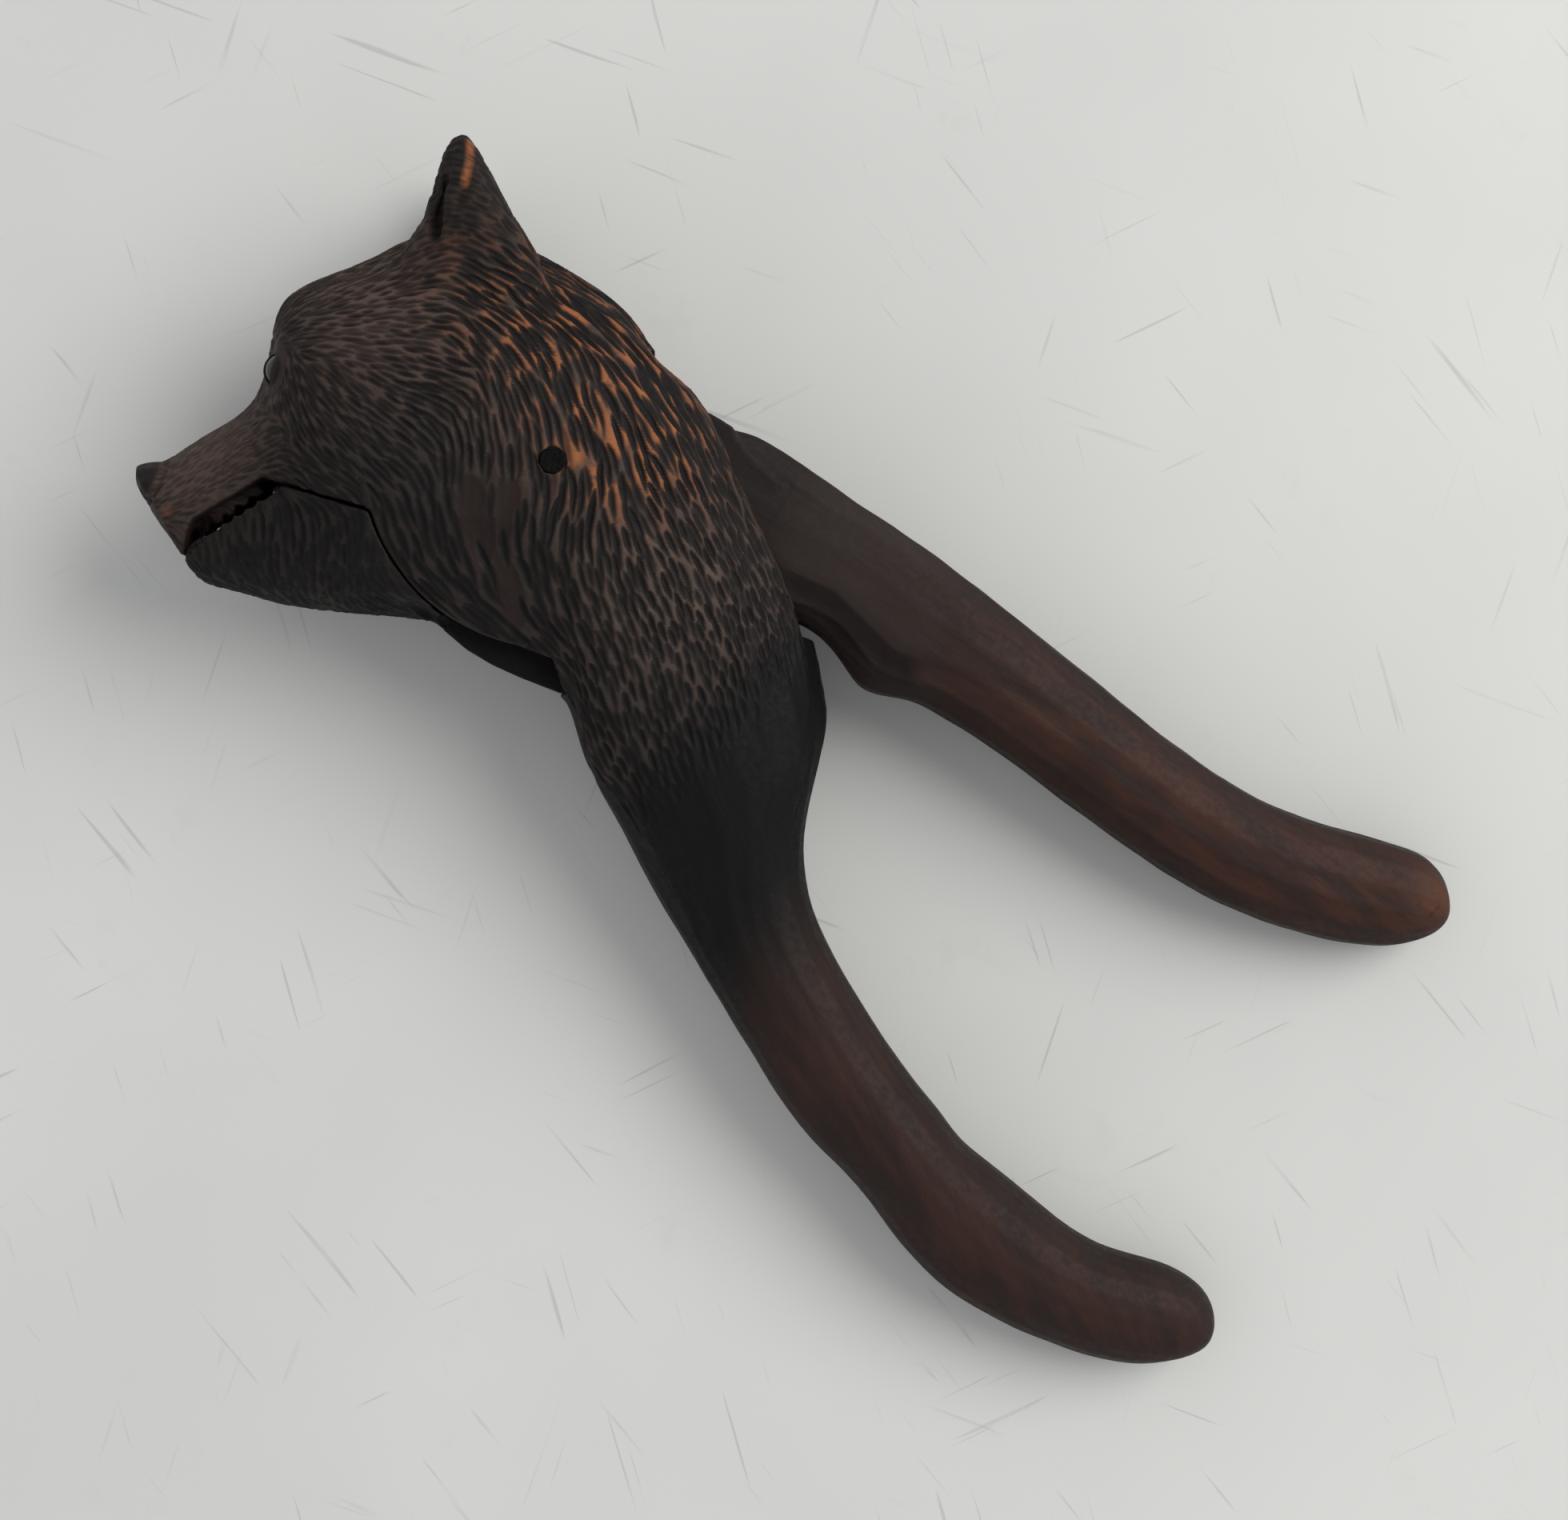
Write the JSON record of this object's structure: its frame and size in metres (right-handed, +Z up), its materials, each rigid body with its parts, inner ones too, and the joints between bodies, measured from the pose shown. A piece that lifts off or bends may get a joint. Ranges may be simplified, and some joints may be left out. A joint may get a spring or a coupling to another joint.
{
  "type": "nutcracker",
  "caption": "Carved wooden lever nutcracker shaped as a bear's head, with a hinged lower jaw and two long curved handles.",
  "frame": {"origin": "on the surface that it lies on, under the middle of the whole object's length and width, with the mouth closed", "axes": "+X along the handles, from the muzzle to the ends of the grips; +Y from the jaw and lower grip towards the ears and upper grip; +Z up, out of the left cheek"},
  "size_m": [0.2066, 0.0964, 0.0411],
  "materials": {
    "head_wood": "dark stained, carved, worn",
    "jaw_wood": "dark stained, worn smooth",
    "pin_steel": "plain wire",
    "plug_filler": "rough, dark",
    "eye_glass": "glossy bead"
  },
  "bodies": {
    "head": {"head_lever": "head_wood", "pivot_pin": "pin_steel", "pin_plug_left": "plug_filler", "pin_plug_right": "plug_filler", "eye_left": "eye_glass", "eye_right": "eye_glass"},
    "jaw": {"jaw_lever": "jaw_wood"}
  },
  "joints": [
    {"name": "jaw_hinge", "type": "hinge", "parent": "head", "child": "jaw", "pos_m": [-0.05553, 0.01375, 0.01919], "axis": [0.0888, 0.0138, 0.996], "range_deg": [0, 25]}
  ]
}
